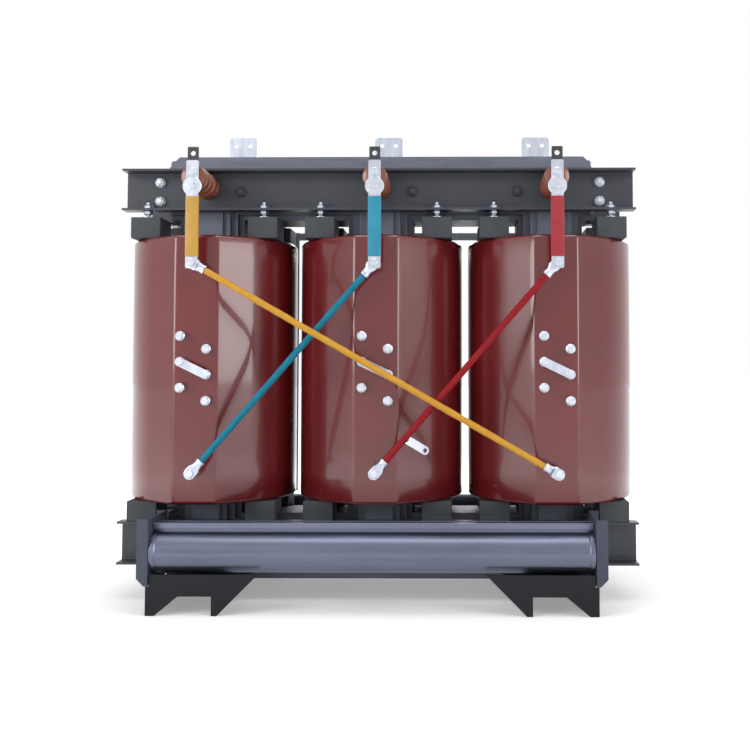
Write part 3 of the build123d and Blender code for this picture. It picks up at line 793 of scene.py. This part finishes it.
def fan(side_name):
    """The casing with end beads, its outlet walls, a folded lip and the slats."""
    low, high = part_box(f"fan_{side_name}_housing")
    side = 1 if high.y > 0 else -1
    axis_y = side * fan_axis_y
    axis_z = low.z + fan_radius
    length = high.x - low.x
    casing = Shell()
    bead = 2.2 * mm
    profile = [(0, 0), (0, fan_radius - 3 * mm), (2 * mm, fan_radius - 0.5 * mm)]
    profile += [(8 * mm, fan_radius), (14 * mm, fan_radius), (17 * mm, fan_radius - bead)]
    profile += [(length / 2, fan_radius - bead)]
    profile += [(length - 17 * mm, fan_radius - bead), (length - 14 * mm, fan_radius)]
    profile += [(length - 8 * mm, fan_radius), (length - 2 * mm, fan_radius - 0.5 * mm)]
    profile += [(length, fan_radius - 3 * mm), (length, 0)]
    casing.turned((low.x, axis_y, axis_z), (1, 0, 0), profile, 96)
    left = low.x + 1 * mm
    right = high.x - 1 * mm
    for inward in (0, outlet_depth):
        face = axis_y - side * inward
        y0, y1 = sorted((face, face - side * outlet_wall))
        casing.block((left, y0, axis_z + outlet_foot), (right, y1, high.z - 1 * mm), 1 * mm)
    y0, y1 = sorted((axis_y, axis_y + side * lip_reach))
    casing.block((left, y0, high.z - lip_height), (right, y1, high.z), 2.5 * mm)
    casing.piece(f"fan_{side_name}_casing", fan_coat, "fan_paint", f"fan_{side_name}_housing")
    slats = Shell()
    count = int(length / slat_pitch)
    for i in range(1, count):
        x = low.x + length * i / count
        y0, y1 = sorted((axis_y - side * outlet_wall, axis_y - side * outlet_depth))
        slats.block(
            (x - slat_half, y0, high.z - 16 * mm), (x + slat_half, y1, high.z - 3 * mm))
    slats.piece(f"fan_{side_name}_slats", clamp_paint, "clamp_paint", f"fan_{side_name}_housing")


for side_name in ("front", "rear"):
    fan(side_name)


# ---- Fan brackets and motors ----
# Folded steel channels, painted grey, hang each fan from the lower clamp.
# The round motor housing closes one end of the casing, in the same bright sheet.
black_paint = Paint("black_paint", coat=0.12, coat_roughness=0.3)
black_tone = black_paint.cloud(8, 3)
black_peel = black_paint.cloud(380, 2)
black_paint.feed(
    black_paint.blend(black_tone, colour(15, 17, 20), colour(28, 31, 36)),
    0.36 + 0.2 * black_tone, black_peel, 0.0005, 0.3,
)
bracket_paint = Paint("bracket_paint", coat=0.1, coat_roughness=0.3)
bracket_tone = bracket_paint.cloud(12, 3)
bracket_paint.feed(
    bracket_paint.blend(bracket_tone, colour(60, 63, 76), colour(86, 90, 106)),
    0.38 + 0.2 * bracket_tone, bracket_paint.cloud(400, 2), 0.0005, 0.3,
)
for paint in (black_paint, bracket_paint):
    paint.shader.inputs["Specular IOR Level"].default_value = 0.2
for side_name in ("front", "rear"):
    dress(bracket_paint, *[f"fan_{side_name}_bracket_{hand}" for hand in ("left", "right")])
    dress(fan_coat, f"fan_{side_name}_motor")


# ---- Feet ----
# Two fabricated steel rails carry the lower clamps and drop under the core. They are black,
# and their end plates have an arch above the ground and a gusset towards the middle.
dress(black_paint, "foot_left", "foot_right")


# ---- Floor, light and camera ----
# A pale floor keeps the shadow near the object and runs on as plain white further out.
# Four large soft lamps and an even white sky light it, with the camera in front.
white_floor = Paint("pale_floor")
white_floor.feed((0.92, 0.92, 0.92, 1), 0.9)
spot = white_floor.add("ShaderNodeTexCoord", {}, {}, "Object")
radius = white_floor.add("ShaderNodeVectorMath", {"operation": "LENGTH"}, {0: spot}, "Value")
far = white_floor.clip(radius, 0.7, 2.4)
seen = white_floor.add("ShaderNodeLightPath", {}, {}, "Is Camera Ray")
for ray in ("Is Glossy Ray", "Is Transmission Ray"):
    seen = seen + white_floor.add("ShaderNodeLightPath", {}, {}, ray)
glow = white_floor.blend(seen * (0.3 + 0.7 * far), (0, 0, 0, 1), (1, 1, 1, 1))
white_floor.tree.links.new(glow.socket, white_floor.shader.inputs["Emission Color"])
white_floor.shader.inputs["Emission Strength"].default_value = 1.0
ground = Shell()
reach = 30
corners = ((-reach, -reach, 0), (reach, -reach, 0), (reach, reach, 0), (-reach, reach, 0))
ground.rings([[Vector(corner) for corner in corners], [Vector((0, 0, 0))]])
for face in ground.mesh.faces:
    face.smooth = False
floor_mesh = bpy.data.meshes.new("floor")
ground.mesh.to_mesh(floor_mesh)
ground.mesh.free()
floor = bpy.data.objects.new("floor", floor_mesh)
floor_mesh.materials.append(white_floor.material)
bpy.context.scene.collection.objects.link(floor)

sky = bpy.data.worlds.new("sky")
bpy.context.scene.world = sky
sky.use_nodes = True
back = sky.node_tree.nodes["Background"]
back.inputs["Color"].default_value = (1, 1, 1, 1)
path = sky.node_tree.nodes.new("ShaderNodeLightPath")
strength = sky.node_tree.nodes.new("ShaderNodeMath")
strength.operation = "MULTIPLY_ADD"
sky_light = 0.38    # what the sky lends as light; it looks full white
strength.inputs[1].default_value = 1 - sky_light
strength.inputs[2].default_value = sky_light
either = path.outputs["Is Camera Ray"]
for ray in ("Is Glossy Ray", "Is Transmission Ray"):
    both = sky.node_tree.nodes.new("ShaderNodeMath")
    sky.node_tree.links.new(either, both.inputs[0])
    sky.node_tree.links.new(path.outputs[ray], both.inputs[1])
    either = both.outputs[0]
sky.node_tree.links.new(either, strength.inputs[0])
sky.node_tree.links.new(strength.outputs[0], back.inputs["Strength"])


def lamp(name, place, aim, width, height, watts):
    """A large soft rectangle of light, turned towards a point."""
    light = bpy.data.lights.new(name, "AREA")
    light.shape = "RECTANGLE"
    light.size = width
    light.size_y = height
    light.energy = watts
    made = bpy.data.objects.new(name, light)
    made.location = place
    made.rotation_euler = (Vector(aim) - Vector(place)).to_track_quat("-Z", "Y").to_euler()
    bpy.context.scene.collection.objects.link(made)


lamp("key_left", (-3.4, -3.0, 1.9), (0, 0, 0.7), 1.8, 2.6, 92)
lamp("fill_right", (3.4, -2.6, 1.8), (0.2, 0, 0.7), 1.2, 2.6, 58)
lamp("top", (0.0, -0.8, 4.2), (0, 0, 0.6), 3.0, 2.0, 46)
lamp("back", (0.5, 3.8, 2.6), (0, 0, 0.8), 3.0, 1.6, 60)

lens = bpy.data.cameras.new("camera")
lens.sensor_width = 36
lens.lens = 47.76
lens.shift_x = -0.0936
lens.shift_y = -0.0765
camera = bpy.data.objects.new("camera", lens)
camera.location = (0.2233, -2.9986, 0.6553)
tilt = math.radians(2.872)
turn = math.radians(0.635)
camera.rotation_euler = (math.pi / 2 + tilt, 0, turn)
bpy.context.scene.collection.objects.link(camera)
bpy.context.scene.camera = camera
bpy.context.scene.view_settings.view_transform = "Standard"
